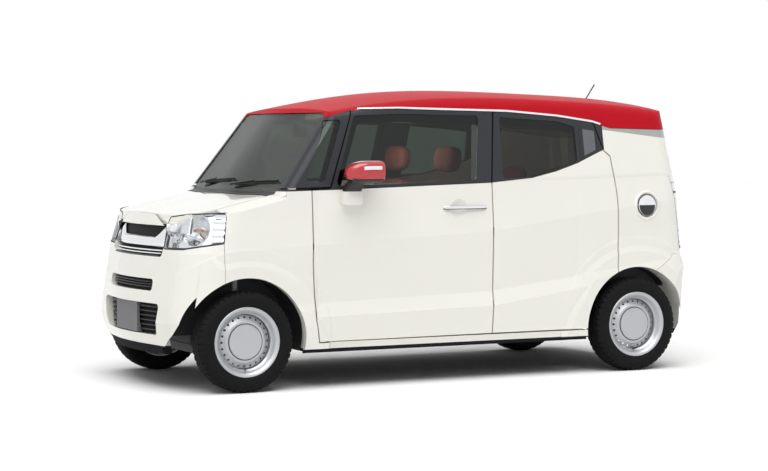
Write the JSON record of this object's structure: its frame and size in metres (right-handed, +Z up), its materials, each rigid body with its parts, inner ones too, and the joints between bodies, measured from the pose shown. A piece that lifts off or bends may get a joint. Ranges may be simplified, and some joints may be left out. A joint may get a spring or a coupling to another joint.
{
  "type": "kei car",
  "caption": "Small tall-bodied two-tone car with opening doors, bonnet, tailgate and fuel lid, steered front wheels and free-turning wheels.",
  "frame": {"origin": "on the ground under the middle of the body's length and width", "axes": "+X forward, +Y to the car's left, +Z up"},
  "size_m": [3.3882, 1.772, 1.7242],
  "materials": {
    "white_paint": "gloss",
    "red_paint": "gloss",
    "tinted_glass": "gloss",
    "chrome_trim": "polished",
    "lamp_clear": "gloss",
    "plate_grey": "matte",
    "black_plastic": "matte",
    "dark_steel": "satin",
    "wheel_silver": "satin",
    "tyre_rubber": "matte",
    "brown_fabric": "matte"
  },
  "bodies": {
    "chassis": {"side_frames": "white_paint", "front_fenders": "white_paint", "side_sills": "white_paint", "quarter_panels": "white_paint", "roof_panel": "red_paint", "front_bumper": "white_paint", "front_grille": "chrome_trim", "front_plate": "plate_grey", "rear_bumper": "white_paint", "headlamps": "lamp_clear", "tail_lamps": "lamp_clear", "fixed_glass": "tinted_glass", "cowl_panel": "black_plastic", "floor_pan": "dark_steel", "front_frame": "dark_steel", "front_subframe": "dark_steel", "engine": "dark_steel", "rear_axle": "dark_steel", "fuel_tank": "black_plastic", "exhaust": "dark_steel", "dashboard": "black_plastic", "steering_wheel": "black_plastic", "front_seats": "brown_fabric", "rear_seats": "brown_fabric", "antenna": "black_plastic"},
    "front_door_left": {"front_door_left": "white_paint", "front_door_glass_left": "tinted_glass", "door_mirror_left": "red_paint", "door_handle_left": "chrome_trim"},
    "front_door_right": {"front_door_right": "white_paint", "front_door_glass_right": "tinted_glass", "door_mirror_right": "red_paint", "door_handle_right": "chrome_trim"},
    "rear_door_left": {"rear_door_left": "white_paint", "rear_door_glass_left": "tinted_glass"},
    "rear_door_right": {"rear_door_right": "white_paint", "rear_door_glass_right": "tinted_glass"},
    "bonnet": {"bonnet": "white_paint"},
    "tailgate": {"tailgate": "white_paint", "tailgate_glass": "tinted_glass", "rear_plate": "plate_grey"},
    "fuel_lid": {"fuel_lid": "chrome_trim"},
    "knuckle_left": {"knuckle_left": "dark_steel"},
    "knuckle_right": {"knuckle_right": "dark_steel"},
    "wheel_front_left": {"rim_front_left": "wheel_silver", "tyre_front_left": "tyre_rubber"},
    "wheel_front_right": {"rim_front_right": "wheel_silver", "tyre_front_right": "tyre_rubber"},
    "wheel_rear_left": {"rim_rear_left": "wheel_silver", "tyre_rear_left": "tyre_rubber"},
    "wheel_rear_right": {"rim_rear_right": "wheel_silver", "tyre_rear_right": "tyre_rubber"}
  },
  "joints": [
    {"name": "front_door_left_hinge", "type": "hinge", "parent": "chassis", "child": "front_door_left", "pos_m": [0.784, 0.72, 0.6], "axis": [0, 0, -1], "range_deg": [0, 68]},
    {"name": "rear_door_left_hinge", "type": "hinge", "parent": "chassis", "child": "rear_door_left", "pos_m": [-0.3545, 0.72, 0.65], "axis": [0, 0, -1], "range_deg": [0, 70]},
    {"name": "front_door_right_hinge", "type": "hinge", "parent": "chassis", "child": "front_door_right", "pos_m": [0.784, -0.72, 0.6], "axis": [0, 0, 1], "range_deg": [0, 68]},
    {"name": "rear_door_right_hinge", "type": "hinge", "parent": "chassis", "child": "rear_door_right", "pos_m": [-0.3545, -0.72, 0.65], "axis": [0, 0, 1], "range_deg": [0, 70]},
    {"name": "bonnet_hinge", "type": "hinge", "parent": "chassis", "child": "bonnet", "pos_m": [1.19, 0, 1.036], "axis": [0, -1, 0], "range_deg": [0, 50]},
    {"name": "tailgate_hinge", "type": "hinge", "parent": "chassis", "child": "tailgate", "pos_m": [-1.485, 0, 1.577], "axis": [0, 1, 0], "range_deg": [0, 80]},
    {"name": "fuel_lid_hinge", "type": "hinge", "parent": "chassis", "child": "fuel_lid", "pos_m": [-1.2995, 0.722, 0.986], "axis": [0, 0, -1], "range_deg": [0, 80]},
    {"name": "steer_left", "type": "hinge", "parent": "chassis", "child": "knuckle_left", "pos_m": [1.2425, 0.54, 0.278], "axis": [0, 0, 1], "range_deg": [-35, 35]},
    {"name": "steer_right", "type": "hinge", "parent": "chassis", "child": "knuckle_right", "pos_m": [1.2425, -0.54, 0.278], "axis": [0, 0, 1], "range_deg": [-35, 35]},
    {"name": "spin_front_left", "type": "hinge", "parent": "knuckle_left", "child": "wheel_front_left", "pos_m": [1.2425, 0.6525, 0.278], "axis": [0, 1, 0], "continuous": true},
    {"name": "spin_front_right", "type": "hinge", "parent": "knuckle_right", "child": "wheel_front_right", "pos_m": [1.2425, -0.6525, 0.278], "axis": [0, 1, 0], "continuous": true},
    {"name": "spin_rear_left", "type": "hinge", "parent": "chassis", "child": "wheel_rear_left", "pos_m": [-1.2775, 0.6525, 0.278], "axis": [0, 1, 0], "continuous": true},
    {"name": "spin_rear_right", "type": "hinge", "parent": "chassis", "child": "wheel_rear_right", "pos_m": [-1.2775, -0.6525, 0.278], "axis": [0, 1, 0], "continuous": true}
  ],
  "couplings": [
    {"joint": "steer_right", "follows": "steer_left", "ratio": 1}
  ]
}
